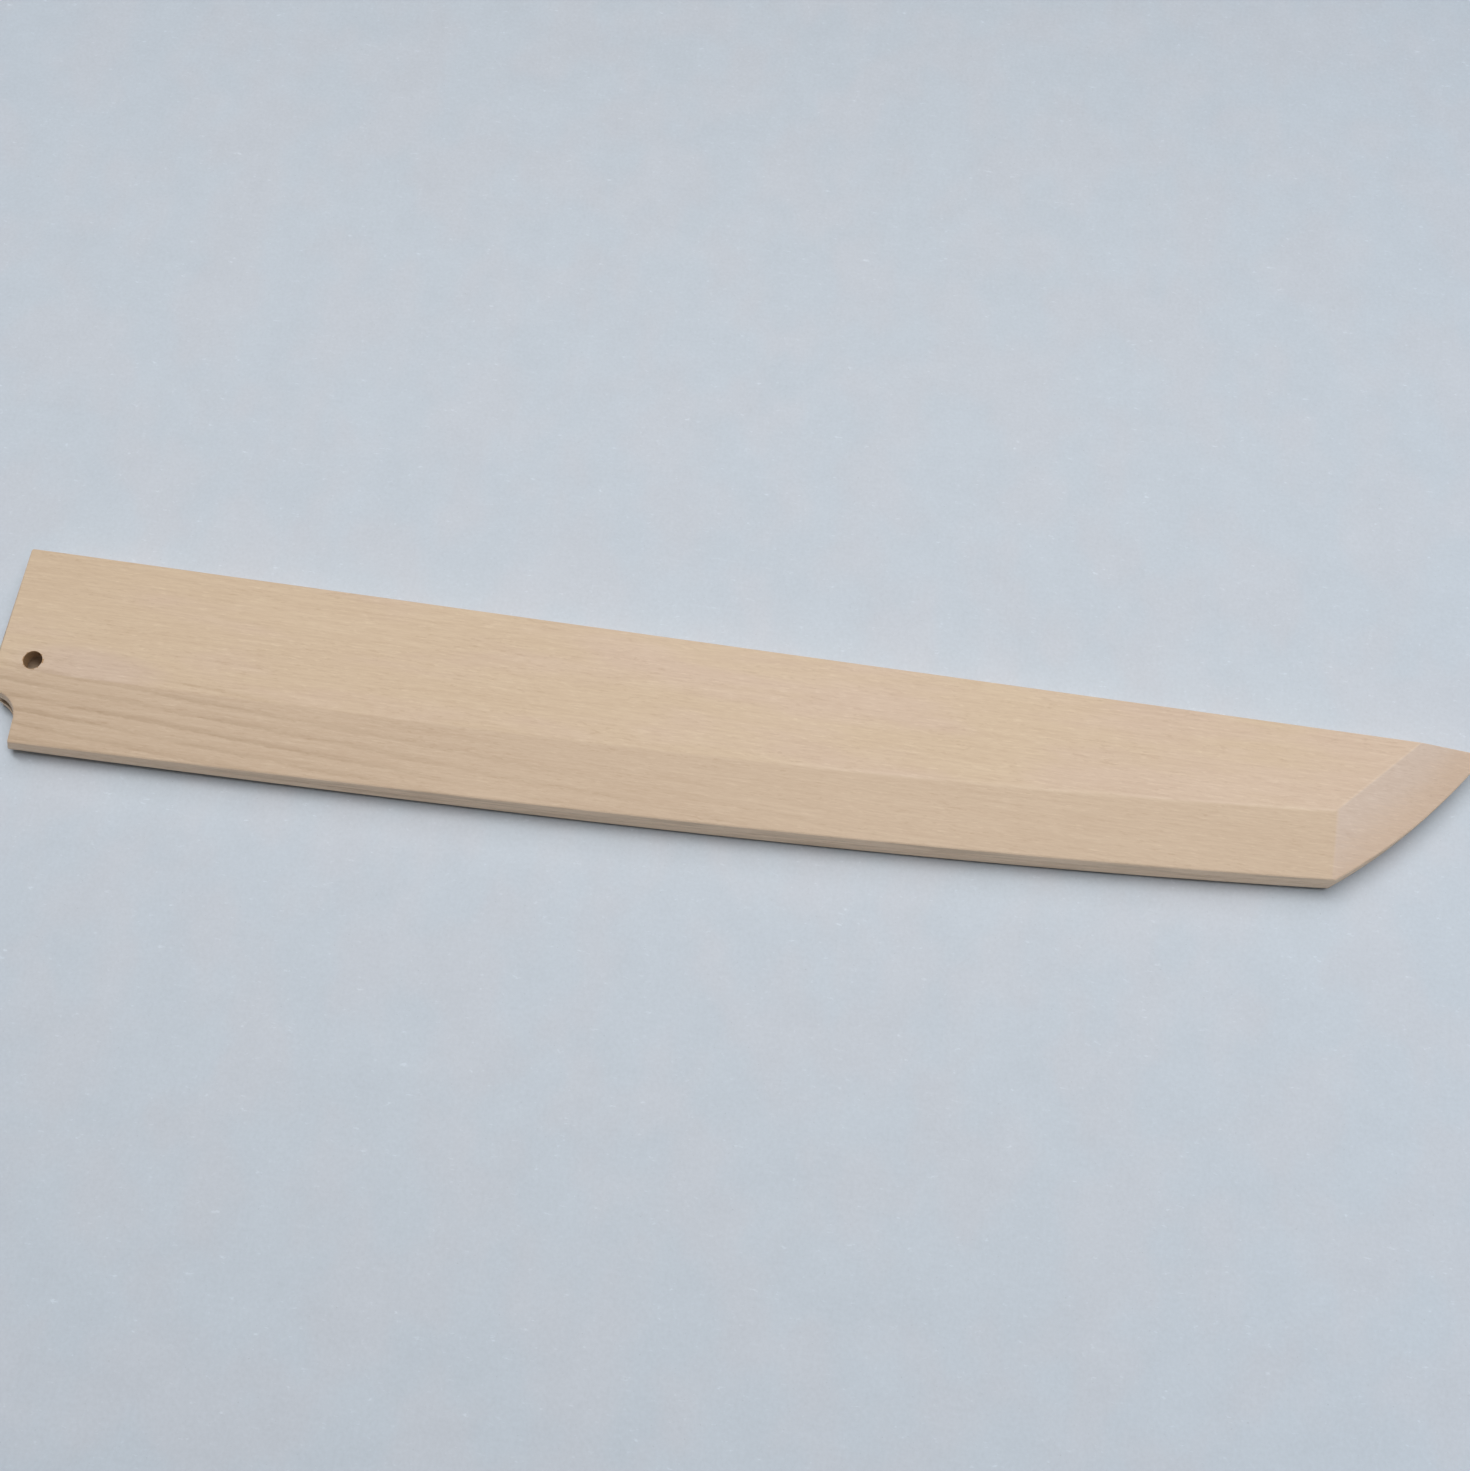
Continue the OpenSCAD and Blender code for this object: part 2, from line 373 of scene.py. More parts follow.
        path.corner("spine", (s.length, 0), (1, 0), (0, 1), soft, soft)
        path.curve("ridge_spine", self.ridge_spine, (0, 1), soft)
        return path.close()


class Grid:
    """Counts of the patches' lines along the sheath, across the flat, across the slope and over
    the rounded corner, and how near to a corner they come closer together"""

    ALONG = (4, 3, 14, 5, 6, 3, 220, 6, 3)
    FLAT = (6, 24, 4, 2, 4)
    SLOPE = (6, 12, 3)
    ROUND = 6
    NEAR = 1 * MM


def join_line(start, end, lengths):
    """Points of a straight line at shares given by lengths that run from one end to the other."""
    part = (lengths - lengths[0]) / (lengths[-1] - lengths[0])
    return mix(start, end, part[:, None])


def patch(low, high, left, right):
    """Fills four curves that share their ends with a grid: what lies between the first pair,
    plus what lies between the second, less what lies between the four corners."""
    def share_along(a, b):
        steps = [np.append(0, np.cumsum(np.linalg.norm(np.diff(c, axis=0), axis=1)))
                 for c in (a, b)]
        return sum(c / c[-1] for c in steps) / 2
    u, v = share_along(low, high)[:, None, None], share_along(left, right)[None, :, None]
    between = mix(low[:, None], high[:, None], v) + mix(left[None], right[None], u)
    corners = mix(mix(low[0], low[-1], u), mix(high[0], high[-1], u), v)
    return between - corners


def grid_faces(rows, columns, first=0, closed=False):
    """Corner numbers of the squares of a grid of points. A closed grid's rows are rings."""
    row = np.arange(rows - 1)[:, None] * columns + first
    column = np.arange(columns if closed else columns - 1)[None]
    after = (column + 1) % columns
    corners = [row + column, row + after, row + columns + after, row + columns + column]
    return np.stack(corners, axis=-1).reshape(-1, 4)


class Skin:
    """Collects grids of points and faces, and makes them one closed mesh"""

    WELD = 1e-7

    def __init__(self):
        self.points, self.faces, self.count = [], [], 0

    def add(self, points, closed=False):
        """Adds a grid of points with its faces, and returns the number of its first point."""
        first, (rows, columns) = self.count, points.shape[:2]
        self.points.append(points.reshape(-1, 3))
        self.faces += grid_faces(rows, columns, first, closed).tolist()
        self.count += rows * columns
        return first

    def close_ring(self, first, columns):
        """Closes a ring of points with one flat face."""
        self.faces.append(list(range(first, first + columns)))

    def mesh(self, name, place):
        """Welds the grids where they meet, and faces the mesh outwards."""
        data = bpy.data.meshes.new(name)
        data.from_pydata((np.concatenate(self.points) + place).tolist(), [], self.faces)
        work = bmesh.new()
        work.from_mesh(data)
        bmesh.ops.remove_doubles(work, verts=work.verts, dist=self.WELD)
        bmesh.ops.recalc_face_normals(work, faces=work.faces)
        work.to_mesh(data)
        work.free()
        return data


def side_lengths(path):
    """Lengths along the outline at which the patches' lines reach it, for each stretch between
    the patches' corners but the spine side, whose lines come from the long ridge. The rim and
    the slanted edge run towards the nose, the others from a ridge to a corner of the outline."""
    at, near = path.names, Grid.NEAR
    rim = stations([at["notch"], at["notch_end"], at["hollow_start"], at["hollow_end"],
                    at["heel_start"], at["heel_end"], at["heel_end"] + 2 * near,
                    at["tip_start"] - 2 * near, at["tip_start"], at["tip"]], Grid.ALONG)
    mouth_flat = -stations([-at["ridge_mouth"], near - at["ridge_mouth"],
                            -at["mouth_end"] - 2 * near, -at["mouth_end"] - near,
                            -at["mouth_end"], -at["mouth"]], Grid.FLAT)
    mouth_slope = stations([at["ridge_mouth"], at["ridge_mouth"] + near, at["notch_start"],
                            at["notch"]], Grid.SLOPE)
    tip_flat = stations([at["tip"], at["tip"] + near, at["nose_start"], at["nose_end"],
                         at["spine_start"], at["spine"]], Grid.FLAT)
    tip_slope = -stations([-at["ridge_spine"], near - at["ridge_spine"], -at["spine_end"],
                           -at["spine"]], Grid.SLOPE)
    return rim, mouth_flat, mouth_slope, tip_flat, tip_slope


def along_ridge(form, path, rim):
    """Where the lines across the sheath meet the long ridge. They fan out round the notch, and
    then lean less and less until they stand square to the rim."""
    fan, ease = 11 * MM, 25 * MM
    notch = path.names["heel"] - rim[0]
    way = rim - rim[0]
    past = np.maximum(way - notch, 0)
    square = form.s.notch_depth + past + (fan - form.s.notch_depth) * np.exp(-past / ease)
    x = np.where(way < notch, way * fan / notch, square)
    return (x - x[0]) / (x[-1] - x[0])


def board_skin(form, outer):
    """One board before it is carved: patches for the flat face, the long slope and the tip
    facet, a rounded corner carried round the outline, the side wall, and the seam face.
    outer turns a height of the front face into a height of this board's outside."""
    s = form.s
    path = form.outline()
    rim, mouth_flat, mouth_slope, tip_flat, tip_slope = side_lengths(path)
    share_x = along_ridge(form, path, rim)
    half_corner = path.names["mouth_end"] - path.names["mouth"]
    spine_run = path.total + path.names["mouth"] - path.names["ridge_spine"]
    corner_share = share_x[Grid.ALONG[0]]
    from_mouth = np.interp(share_x, [0, corner_share, 1], [0, half_corner, spine_run])
    spine = path.total + path.names["mouth"] - from_mouth

    def inner(lengths):
        """Points on the inner side of the rounded corner."""
        return path.at(lengths, 1)[0]

    ridge = form.long_ridge(share_x * form.ridge_corner[0])
    ridge[0] = inner(path.names["ridge_mouth"])
    tip_ridge = join_line(form.ridge_corner, inner(spine[-1]), mouth_flat)
    crease = join_line(form.ridge_corner, inner(rim[-1]), mouth_slope)
    skin = Skin()

    def raised(points, lower=0.0):
        """Points lifted to the outside, or so far below it."""
        return form.slanted(points, outer(form.height(points[..., 0], points[..., 1]) - lower))

    skin.add(raised(patch(ridge, inner(spine), inner(mouth_flat), tip_ridge)))
    skin.add(raised(patch(ridge, inner(rim), inner(mouth_slope), crease)))
    skin.add(raised(patch(tip_ridge, inner(tip_flat), crease, inner(tip_slope))))
    loop = np.concatenate([mouth_flat[::-1][:-1], mouth_slope[:-1], rim[:-1], tip_flat[:-1],
                           tip_slope[::-1][:-1], spine[::-1][:-1]])
    rows = []
    for angle in np.linspace(0, math.pi / 2, Grid.ROUND):
        points, soft = path.at(loop, 1 - math.sin(angle))
        rows.append(raised(points, soft * (1 - math.cos(angle))))
    edge, _ = path.at(loop, 0)
    inset, _ = path.at(loop, s.seam_round / form.edge_round)
    for points, lift in ((edge, s.seam_round), (inset, 0)):
        rows.append(form.slanted(points, np.full(len(loop), outer(s.seam + lift))))
    first = skin.add(np.stack(rows), closed=True)
    skin.close_ring(first + (len(rows) - 1) * len(loop), len(loop))
    return skin


def recess_skin(form, depth, bevelled, outer):
    """The tool that carves the knife slot: a plan set in from the outline by the three walls,
    flat or falling to the seam past the bevel line. Near a wall the roof comes down in a quarter
    circle, and elsewhere it has shallow flutes, one less a cosine of y. The curved end is found
    by turns. The tool runs on a little past the edge wall, so that it meets the seam cleanly."""
    s = form.s
    past, spare, gouge = 2 * MM, 0.02 * MM, s.gouge_round
    flute_depth, flute_span = 0.03 * MM, 0.9 * MM
    tip_slant = math.cos(math.radians(45))
    near = gouge / s.width
    w = stations([0, near, 1 - near, 1], [6, 28, 6])[None]
    f = stations([0, 1 - gouge / s.length, 1], [60, 6])[:, None]

    def edge_line(x):
        """The recess's edge side at these places along the sheath."""
        return form.edge_y(np.clip((x - s.notch_depth) / form.run, 0, 1)) + s.edge_wall - spare

    end = np.full_like(w, form.corner[0])
    inner_radius = form.tip_radius - s.tip_wall
    for _ in range(8):
        y = mix(-s.spine_wall, edge_line(end), w)
        end = form.tip_centre[0] + np.sqrt(inner_radius ** 2 - (y - form.tip_centre[1]) ** 2)
    x = mix(-past, end, f)
    y = mix(-s.spine_wall, edge_line(x), w)
    fall = (-y - s.bevel_from_spine) / (s.width - s.edge_wall - s.bevel_from_spine)
    roof = depth * (1 - np.maximum(fall, 0)) if bevelled else np.full_like(y, depth)
    walls = [-s.spine_wall - y, (end - x) * tip_slant]
    if not bevelled:
        walls.append(y - edge_line(x))
    from_wall = np.clip(np.minimum.reduce(np.broadcast_arrays(*walls)) / gouge, 0, 1)
    roof = roof - gouge * (1 - np.sqrt(1 - (1 - from_wall) ** 2))
    flutes = flute_depth * (1 - np.cos(y / flute_span)) * from_wall
    top = np.stack([x, y, outer(s.seam + roof + flutes)], axis=-1)
    bottom = np.stack([x, y, np.full_like(x, outer(s.seam - past))], axis=-1)
    skin = Skin()
    skin.add(np.concatenate([top, bottom[:, ::-1]], axis=1), closed=True)
    for end_row in (0, -1):
        skin.add(np.stack([top[end_row], bottom[end_row]]))
    return skin


def pin_skin(form, outer):
    """The tool that bores the pin hole: a turned profile that bends outwards in an arc where it
    reaches the outside, and runs straight on from there."""
    s = form.s
    radius, flare, past = PIN_HOLE["dims"]["r_mm"] * MM, s.rim_round, 2 * MM
    bend_degrees, bend_steps, turn_steps = 65, 7, 72
    centre = np.array(PIN_HOLE["pos_m"]) + [s.length / 2, -s.width / 2, 0]
    a = np.radians(np.linspace(0, bend_degrees, bend_steps))
    bend = np.stack([radius + flare * (1 - np.cos(a)),
                     s.thickness + flare * (np.sin(a) - np.sin(a[-1]))])
    r, z = np.column_stack([(radius, s.seam - past), bend,
                            bend[:, -1] + past * np.array([np.sin(a[-1]), np.cos(a[-1])])])
    turn = np.linspace(0, 2 * math.pi, turn_steps, endpoint=False)
    rings = np.empty((len(r), len(turn), 3))
    rings[..., :2] = centre[:2] + r[:, None, None] * spokes(turn)
    rings[..., 2] = outer(z)[:, None]
    skin = Skin()
    first = skin.add(rings, closed=True)
    skin.close_ring(first, len(turn))
    skin.close_ring(first + (len(r) - 1) * len(turn), len(turn))
    return skin


def carve(body, tools):
    """Cuts closed tools out of a piece, one after the other, and keeps the result as its mesh."""
    for tool in tools:
        cut = body.modifiers.new("cut", "BOOLEAN")
        cut.operation, cut.solver, cut.object = "DIFFERENCE", "EXACT", tool
    graph = bpy.context.evaluated_depsgraph_get()
    body.data = bpy.data.meshes.new_from_object(body.evaluated_get(graph))
    body.modifiers.clear()
    for tool in tools:
        bpy.data.objects.remove(tool)


def mark_faces(data, sizes):
    """Stores on the faces which of them are outer sides and which are walls of the pin hole.
    A side faces away from a line along the middle of the part, and nearly level."""
    line_start, line_end = (-140 * MM, 3 * MM, 0), (120 * MM, 3 * MM, 1)
    level = 0.8
    shape = (len(data.polygons), 3)
    centre, facing = np.empty(shape), np.empty(shape)
    data.polygons.foreach_get("center", centre.ravel())
    data.polygons.foreach_get("normal", facing.ravel())
    hole = np.array(PIN_HOLE["pos_m"])
    reach = PIN_HOLE["dims"]["r_mm"] * MM + sizes.rim_round
    bore = np.linalg.norm((centre - hole)[:, :2], axis=1) < reach
    middle = np.clip(centre, line_start, line_end)
    outward = np.sum(((centre - middle) * facing)[:, :2], axis=1) > 0
    side = outward & (np.abs(facing[:, 2]) < level) & ~bore
    for name, chosen in (("side", side), ("bore", bore)):
        data.attributes.new(name, "FLOAT", "FACE").data.foreach_set("value", chosen.astype(float))


def linked(name, data):
    """A new object in the scene."""
    piece = bpy.data.objects.new(name, data)
    bpy.context.scene.collection.objects.link(piece)
    return piece


def make_board(context, name, node, finish):
    """Shapes a board, carves its half of the knife slot and its pin hole, and marks its
    sharp edges. Only the front board's half of the slot is bevelled."""
    s = context.scene.sheath_sizes
    front = node == "front_board"
    form = Form(s, s.edge_round if front else s.under_round)
    place = np.array([-s.length / 2, s.width / 2, 0])
    sharp_degrees = 30

    def outer(z):
        """The back board is the front one turned over."""
        return z if front else s.thickness - z

    depth = s.front_depth if front else s.back_depth
    board = linked(name, board_skin(form, outer).mesh(name, place))
    tools = [recess_skin(form, depth, front, outer), pin_skin(form, outer)]
    carve(board, [linked("tool", tool.mesh("tool", place)) for tool in tools])
    board.data.name = name
    mark_faces(board.data, s)
    board.data.shade_smooth()
    board.data.set_sharp_from_angle(angle=math.radians(sharp_degrees))
    board.data.materials.clear()
    board.data.materials.append(finish)
    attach(board, "root")
    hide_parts(node)


class Wire:
    """A node's output. Sums, differences, products and quotients of it add Math nodes."""

    def __init__(self, paint, socket):
        self.paint, self.socket = paint, socket

    def math(self, operation, first, second):
        """The output of a new Math node."""
        return self.paint.node("ShaderNodeMath", {"operation": operation}, {0: first, 1: second})

    def __add__(self, other):
        return self.math("ADD", self, other)

    def __sub__(self, other):
        return self.math("SUBTRACT", self, other)

    def __rsub__(self, other):
        return self.math("SUBTRACT", other, self)

    def __mul__(self, other):
        return self.math("MULTIPLY", self, other)

    def __truediv__(self, other):
        return self.math("DIVIDE", self, other)

    def __pow__(self, other):
        return self.math("POWER", self, other)

    def __abs__(self):
        return self.math("ABSOLUTE", self, 0)

    __radd__, __rmul__ = __add__, __mul__


class Paint:
    """A material under construction"""

    def __init__(self, name):
        self.material = bpy.data.materials.new(name)
        self.material.use_nodes = True
        self.tree = self.material.node_tree
        self.tree.nodes.clear()

    def node(self, kind, settings=None, sockets=None, output=0):
        """Adds a node, sets it up, feeds its sockets, and returns one of its outputs."""
        node = self.tree.nodes.new(kind)
        for key, value in (settings or {}).items():
            setattr(node, key, value)
        for key, value in (sockets or {}).items():
            if isinstance(value, Wire):
                self.tree.links.new(value.socket, node.inputs[key])
            else:
                node.inputs[key].default_value = value
        return Wire(self, node.outputs[output])

    def place(self):
        """Object coordinates in millimetres."""
        here = self.node("ShaderNodeTexCoord", output="Object")
        return self.vector("SCALE", here, Scale=1 / MM)

    def vector(self, operation, first, second=None, **sockets):
        """Vector Math on one vector or two."""
        feed = {0: first, **sockets}
        if second is not None:
            feed[1] = second
        return self.node("ShaderNodeVectorMath", {"operation": operation}, feed)

    def split(self, vector):
        """The three parts of a vector."""
        parts = self.node("ShaderNodeSeparateXYZ", sockets={0: vector})
        return [Wire(self, out) for out in parts.socket.node.outputs]

    def cloud(self, where, spans, detail=2.0, rough=0.5):
        """Soft noise from 0 to 1 whose blots have these spans in millimetres."""
        at = self.vector("MULTIPLY", where, [1 / span for span in spans])
        return self.node("ShaderNodeTexNoise", {"noise_dimensions": "3D"},
                         {"Vector": at, "Scale": 1.0, "Detail": detail, "Roughness": rough})

    def ramp(self, value, low, high, to_low=0.0, to_high=1.0):
        """A smooth step from one value to another as the input goes from low to high."""
        return self.node("ShaderNodeMapRange", {"interpolation_type": "SMOOTHSTEP"},
                         {0: value, 1: low, 2: high, 3: to_low, 4: to_high})

    def blend(self, factor, first, second, how="MIX"):
        """Mixes two colours."""
        def feed(value):
            return value if isinstance(value, Wire) else (*value, 1)
        return self.node("ShaderNodeMix", {"data_type": "RGBA", "blend_type": how},
                         {0: factor, 6: feed(first), 7: feed(second)}, output=2)

    def shade(self, change, red=1.0, blue=1.0):
        """A colour to multiply by: one plus a change, times a share of its own in red and blue."""
        parts = [change * share + 1 for share in (red, 1.0, blue)]
        return self.node("ShaderNodeCombineColor", sockets=dict(enumerate(parts)))

    def mark(self, name):
        """A number stored on the faces of the mesh."""
        return self.node("ShaderNodeAttribute", {"attribute_name": name}, output="Fac")

    def finish(self, shader, **sockets):
        """Ends the material in a Principled shader with these sockets."""
        surface = self.node("ShaderNodeBsdfPrincipled", sockets=shader)
        for key, value in sockets.items():
            self.tree.links.new(value.socket, surface.socket.node.inputs[key.replace("_", " ")])
        end = self.tree.nodes.new("ShaderNodeOutputMaterial")
        self.tree.links.new(surface.socket, end.inputs["Surface"])
        return self.material


def wood(name, look, pale, seed):
    """Planed wood. Growth lines are the late part of each turn of a leaning field that three
    noises jog, strongest at the heel end and faint on the sawn sides. Long fibres, streaks and
    short dark and pale flecks run along the grain. The flat face has rosy patches and a pinker
    one beside the pin hole, the long slope is coloured darker, partly as planed wood and partly
    as painted shade, and the tip facet is golden towards its edge. The ridges carry a paler
    painted highlight, the sides are stained and painted paler as painted light, and the wall of
    the pin hole is painted dark, partly as end grain and partly as painted shade.
    All lengths are in millimetres, and drop is the depth below the nearer flat face."""
    thick, rise = 9.0, 0.5
    crease, crease_end = 125.0, 125.8
    blush_x, blush_y, blush_length, blush_width = -136, -3.6, 13, 3.8
    paint = Paint(name)
    here = paint.place()
    where = paint.vector("ADD", here, (seed, 0, 0))
    x, y, z = paint.split(here)
    drop = thick / 2 - abs(z - thick / 2)
    planed = paint.ramp(drop, 0.01, 0.05)
    facet = paint.ramp(x, crease, crease_end) * planed

    drift = paint.cloud(where, (60, 14, 14), 2.0) - 0.5
    jitter = paint.cloud(where, (9, 3, 3), 3.0, 0.6) - 0.5
    jag = paint.cloud(where, (1.5, 0.6, 0.6), 2.0) - 0.5
    field = y + x * look.ring_lean + z * rise + drift * 1.6 + jitter * 1.1 + jag * 0.7
    turn = paint.node("ShaderNodeMath", {"operation": "FRACT"},
                      {0: (look.ring_start + thick * rise - field) / look.ring_gap})
    line = paint.ramp(turn, 0.42, 0.82) * paint.ramp(turn, 0.86, 1.0, 1, 0)
    patchy = paint.ramp(paint.cloud(where, (24, 3, 3), 2.0), 0.36, 0.6, 0.4, 1)
    low = paint.ramp(field, -3, -10, 0.12, 1)
    left = paint.ramp(x, -115, -40, 1, 0.35)
    side = paint.mark("side")
    ring = line * patchy * low * left * (1 - side * 0.8)

    fibre = paint.cloud(where, (12, 0.5, 0.5), 4.0, 0.65) - 0.5
    streak = paint.cloud(where, (34, 1.3, 1.3), 3.0, 0.6) - 0.5
    fine = paint.cloud(where, (2.4, 0.34, 0.34), 3.0, 0.65) - 0.5
    flock = paint.ramp(paint.cloud(where, (14, 4, 4), 2.0), 0.4, 0.62, 0.35, 1)
    fleck = paint.ramp(paint.cloud(where, (2.0, 0.4, 0.4), 2.0) + ring * 0.06, 0.58, 0.68) * flock
    elsewhere = paint.vector("ADD", where, (0, 90, 0))
    glint = paint.ramp(paint.cloud(elsewhere, (2.6, 0.4, 0.4), 2.0), 0.6, 0.7)
    broad = paint.cloud(where, (60, 18, 18), 2.0) - 0.5
    hue = paint.ramp(paint.cloud(where, (40, 9, 9), 2.0) + x * 0.001, 0.4, 0.68)
    # Painted highlight (worn): a paler line along the ridges, stronger towards the tip and broken by
    # streaks.
    ridge = paint.ramp(drop, 0.004, 0.014) * paint.ramp(drop, 0.03, 0.07, 1, 0)
    worn = ridge * paint.ramp(x, -40, 110) * (0.7 + streak * 2)
    change = (fibre * 0.26 + streak * 0.15 + fine * 0.25 + broad * 0.1 - fleck * 0.04
              + glint * 0.08 + x * 0.00018 + worn * 0.12)

    along, across = (x - blush_x) / blush_length, (y - blush_y) / blush_width
    blush = paint.ramp(along ** 2 + across ** 2 + broad * 2 + streak, 0.1, 2.6, 0.8, 0)
    base = paint.blend(hue, pale, look.rosy)
    base = paint.blend(blush, base, look.blush)
    # Partly planed wood and partly painted shade: the long slope takes its darker colour.
    base = paint.blend(planed * (1 - facet), base, look.slope)
    base = paint.blend(facet, base, look.facet)
    outward = paint.ramp(drop + (broad + fibre) * 1.2, 0.5, 1.7)
    base = paint.blend(facet * outward, base, look.golden)
    stain = paint.ramp(paint.cloud(where, (24, 6, 1.5), 4.0, 0.65), 0.44, 0.66, 0, 0.32)
    # Painted light: the sides take their paler colour.
    base = paint.blend(side, base, look.side)
    base = paint.blend(side * stain, base, look.dark)
    # Partly end grain and partly painted shade: the wall of the pin hole is darkened.
    base = paint.blend(paint.mark("bore"), base, look.bored)
    base = paint.blend(ring * 0.4 + fleck * 0.1, base, look.dark)
    base = paint.blend(1.0, base, paint.shade(change, 0.75, 1.2), "MULTIPLY")

    rough = 0.58 + fibre * 0.12 + fleck * 0.08
    relief = fibre * 0.5 + fine * 0.3 - fleck * 0.3 - ring * 0.15
    normal = paint.node("ShaderNodeBump", sockets={
        "Strength": 0.25, "Distance": 0.05 * MM, "Height": relief})
    return paint.finish({"Specular IOR Level": 0.35, "IOR": 1.5},
                        Base_Color=base, Roughness=rough, Normal=normal)


def floor_finish(look):
    """A pale matt sheet with faint mottling, grain, specks and short pale fibres. It darkens with
    the square of the distance from the sheath's axis, up to a soft limit, which is painted
    shade, and grows a little bluer away from the middle of the view. All lengths are in
    millimetres."""
    darkest, limit_softness = 0.25, 0.1
    cool_x, cool_y, cool_from, cool_to = -40, 40, 5e3, 9e4
    paint = Paint("floor_sheet")
    where = paint.place()
    x, y, _ = paint.split(where)
    mottle = paint.cloud(where, (11, 11, 11), 4.0, 0.6) - 0.5
    grain = paint.cloud(where, (0.8, 0.8, 0.8), 3.0, 0.6) - 0.5
    wisp = paint.cloud(where, (3, 3, 3), 3.0, 0.7)
    thread = paint.ramp(paint.cloud(where, (2.0, 0.8, 1), 3.0, 0.6), 0.58, 0.7)
    hair = thread * paint.ramp(wisp, 0.5, 0.65)
    elsewhere = paint.vector("ADD", where, (90, 0, 0))
    speck = paint.ramp(paint.cloud(elsewhere, (0.6, 0.5, 1), 1.0), 0.74, 0.8)
    # Painted shade: the floor darkens with the square of the distance from the sheath's axis, up to a
    # soft limit.
    away = paint.node("ShaderNodeMath", {"operation": "SMOOTH_MIN"},
                      {0: (y / look.falloff) ** 2, 1: darkest, 2: limit_softness})
    change = mottle * 0.09 + grain * 0.15 + (wisp - 0.5) * 0.05 + hair * 0.15 - speck * 0.12 - away
    hue = paint.ramp(paint.cloud(where, (16, 22, 16), 2.0), 0.4, 0.62)
    base = paint.blend(hue, look.floor, look.floor_warm)
    cool = paint.ramp((x - cool_x) ** 2 + (y - cool_y) ** 2, cool_from, cool_to, 0, 0.025)
    base = paint.blend(1.0, base, paint.shade(change), "MULTIPLY")
    base = paint.blend(1.0, base, paint.shade(cool, 0.0, 2.0), "MULTIPLY")
    return paint.finish({"Roughness": 0.85, "Specular IOR Level": 0.2}, Base_Color=base)


class SHEATH_OT_front_board(bpy.types.Operator):
    """Make the upper board, bevelled inside for the blade"""

    bl_idname = "sheath.front_board"
    bl_label = "Front Board"
    bl_options = {"REGISTER", "UNDO"}

    def execute(self, context):
        look = context.scene.sheath_wood
        finish = wood("front_wood", look, look.pale, 0)
        make_board(context, "front_board_carved", "front_board", finish)
        return {"FINISHED"}


class SHEATH_OT_back_board(bpy.types.Operator):
    """Make the lower board, flat inside for the blade"""

    bl_idname = "sheath.back_board"
    bl_label = "Back Board"
    bl_options = {"REGISTER", "UNDO"}

    def execute(self, context):
        look = context.scene.sheath_wood
        finish = wood("back_wood", look, look.back, 400)
        make_board(context, "back_board_carved", "back_board", finish)
        return {"FINISHED"}


class SHEATH_OT_stage(bpy.types.Operator):
    """Make the floor, the soft light and the camera"""

    bl_idname = "sheath.stage"
    bl_label = "Studio Stage"
    bl_options = {"REGISTER", "UNDO"}

    def execute(self, context):
        look = context.scene.sheath_stage
        make_floor(look)
        make_light(look)
        make_camera(context.scene, look)
        context.scene.view_settings.view_transform = "Standard"
        return {"FINISHED"}


def make_floor(look):
    """A flat sheet just under the part."""
    half, below = 4.0, 0.01 * MM
    corners = [(-half, -half, -below), (half, -half, -below),
               (half, half, -below), (-half, half, -below)]
    data = bpy.data.meshes.new("floor")
    data.from_pydata(corners, [], [(0, 1, 2, 3)])
    data.materials.append(floor_finish(look))
    linked("floor", data)


def make_light(look):
    """Three long soft lights, a broad one overhead and well behind the part, a narrow one just
    behind it and a weak one low in front, and a weak fill from all round. Each light has its
    power in watts, and its depth and place in metres, and is aimed at the part."""
    for name, watts, depth, place in (("window", look.window, 1.3, (0.07, 0.42, 1.2)),
                                      ("strip", look.strip, 0.2, (0.07, 0.14, 1.2)),
                                      ("front", look.front, 0.3, (0.07, -1.5, 0.32))):
        data = bpy.data.lights.new(name, "AREA")
        data.shape, data.energy = "RECTANGLE", watts
        data.size, data.size_y = look.light_length, depth
        light = linked(name, data)
        light.location = place
        light.rotation_euler = (-light.location).to_track_quat("-Z", "Y").to_euler()
        light.visible_camera = False
    world = bpy.data.worlds.new("studio")
    bpy.context.scene.world = world
    world.use_nodes = True
    back = world.node_tree.nodes["Background"]
    back.inputs["Color"].default_value = (*look.sky_colour, 1)
    back.inputs["Strength"].default_value = look.sky


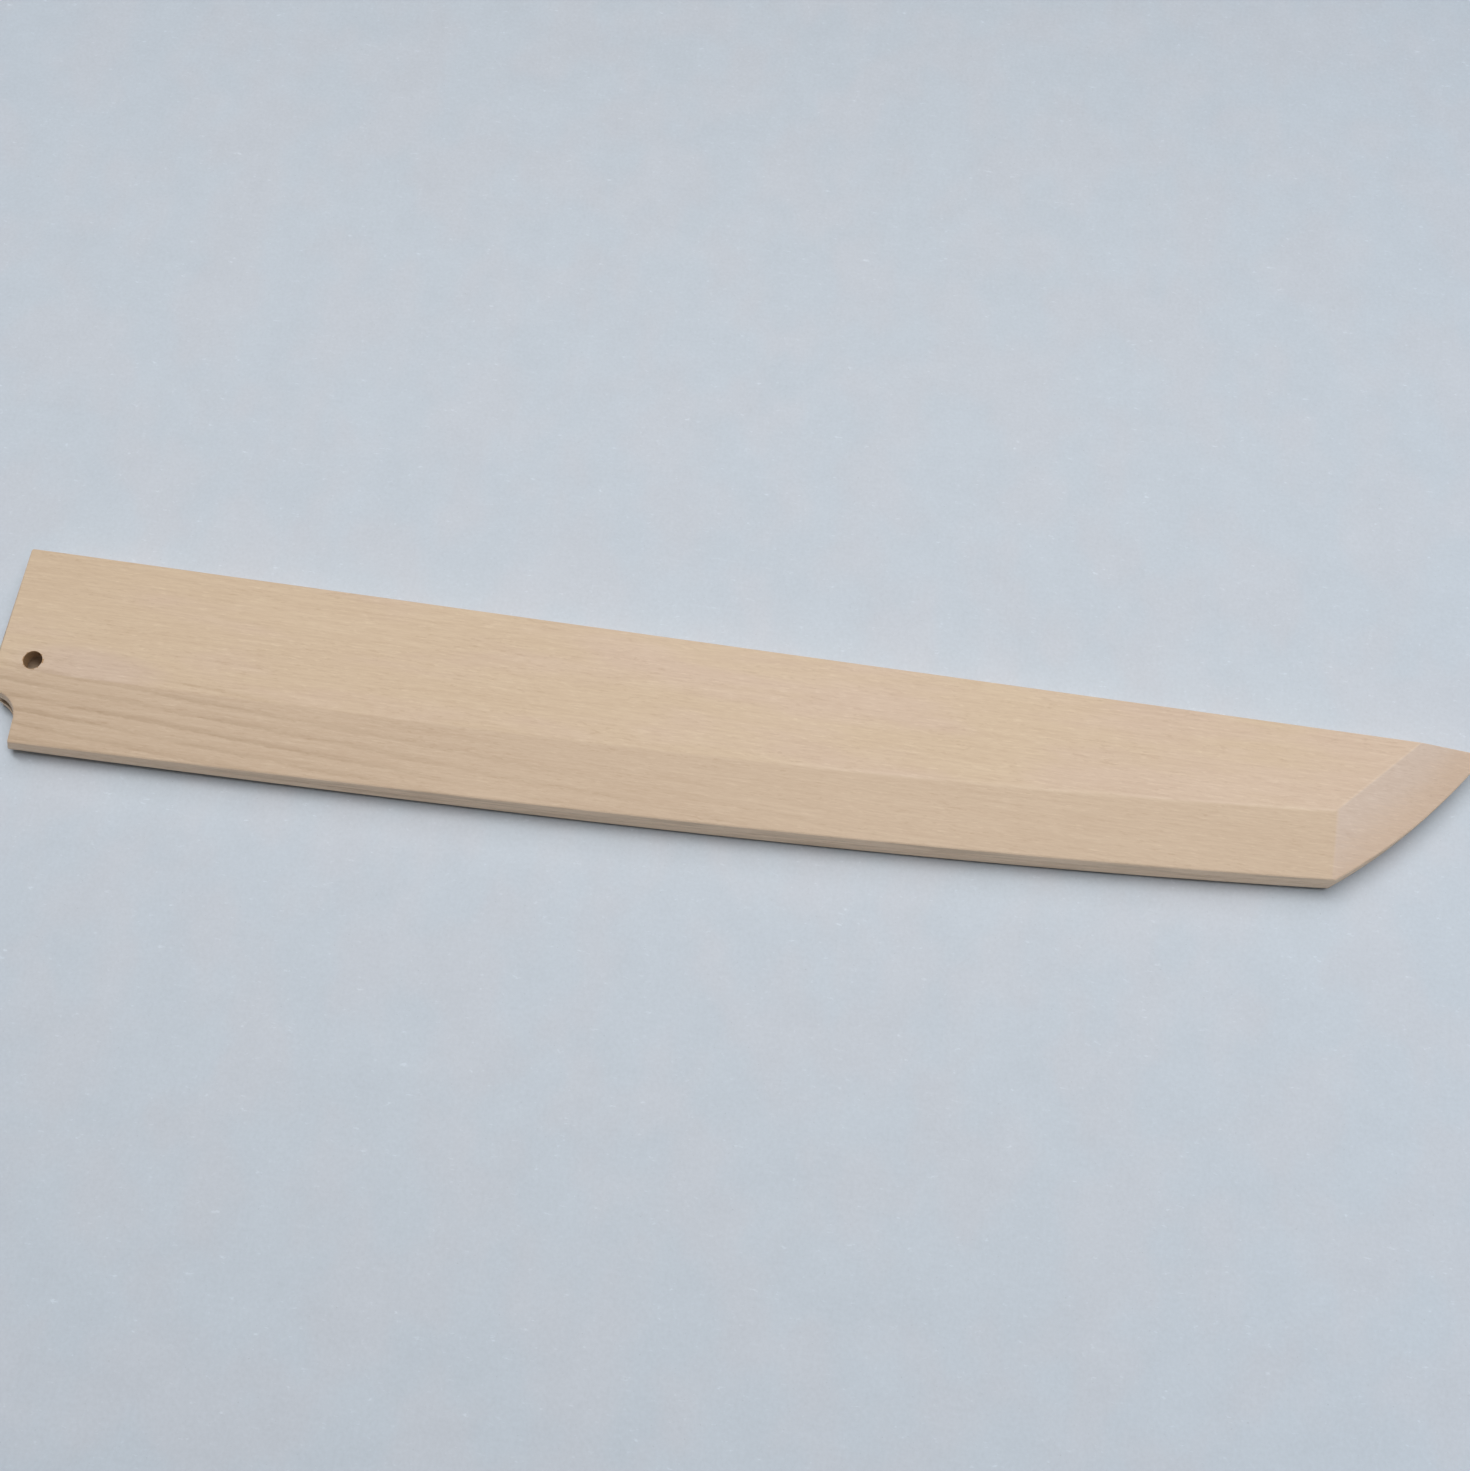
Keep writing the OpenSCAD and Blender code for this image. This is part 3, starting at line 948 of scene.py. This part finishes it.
def make_camera(scene, look):
    """The camera looks down steeply, a little from the right of the sheath."""
    down, turn, roll = (math.radians(a) for a in (68.68, -10.08, -1.29))
    place = Vector((26.48, -137.12, 370.58)) * MM
    sensor, near = 36, 0.01
    ahead = Vector((math.sin(turn) * math.cos(down), math.cos(turn) * math.cos(down),
                    -math.sin(down)))
    level = Vector((math.cos(turn), -math.sin(turn), 0))
    upright = level.cross(ahead)
    right = math.cos(roll) * level + math.sin(roll) * upright
    up = math.cos(roll) * upright - math.sin(roll) * level
    data = bpy.data.cameras.new("camera")
    data.lens, data.sensor_width, data.clip_start = look.focal, sensor, near
    camera = linked("camera", data)
    turned = Matrix((right, up, -ahead)).transposed().to_4x4()
    camera.matrix_world = Matrix.Translation(place) @ turned
    scene.camera = camera


class SHEATH_PT_panel(bpy.types.Panel):
    """Lists the steps that build the sheath"""

    bl_idname = "SHEATH_PT_panel"
    bl_label = "Wooden Sheath"
    bl_space_type = "VIEW_3D"
    bl_region_type = "UI"
    bl_category = "Sheath"

    def draw(self, context):
        for step in STEPS:
            self.layout.operator(step.bl_idname)
        for group in (context.scene.sheath_sizes, context.scene.sheath_wood,
                      context.scene.sheath_stage):
            box = self.layout.box()
            for name in group.__annotations__:
                box.prop(group, name)


GROUPS = {"sheath_sizes": SheathSizes, "sheath_wood": WoodLook, "sheath_stage": StageLook}
STEPS = (SHEATH_OT_front_board, SHEATH_OT_back_board, SHEATH_OT_stage)


def register():
    for kind in (*GROUPS.values(), *STEPS, SHEATH_PT_panel):
        bpy.utils.register_class(kind)
    for name, group in GROUPS.items():
        setattr(bpy.types.Scene, name, bpy.props.PointerProperty(type=group))


def unregister():
    for name in GROUPS:
        delattr(bpy.types.Scene, name)
    for kind in reversed((*GROUPS.values(), *STEPS, SHEATH_PT_panel)):
        bpy.utils.unregister_class(kind)


def main():
    register()
    for step in STEPS:
        group, name = step.bl_idname.split(".")
        getattr(getattr(bpy.ops, group), name)()


if __name__ == "__main__":
    main()
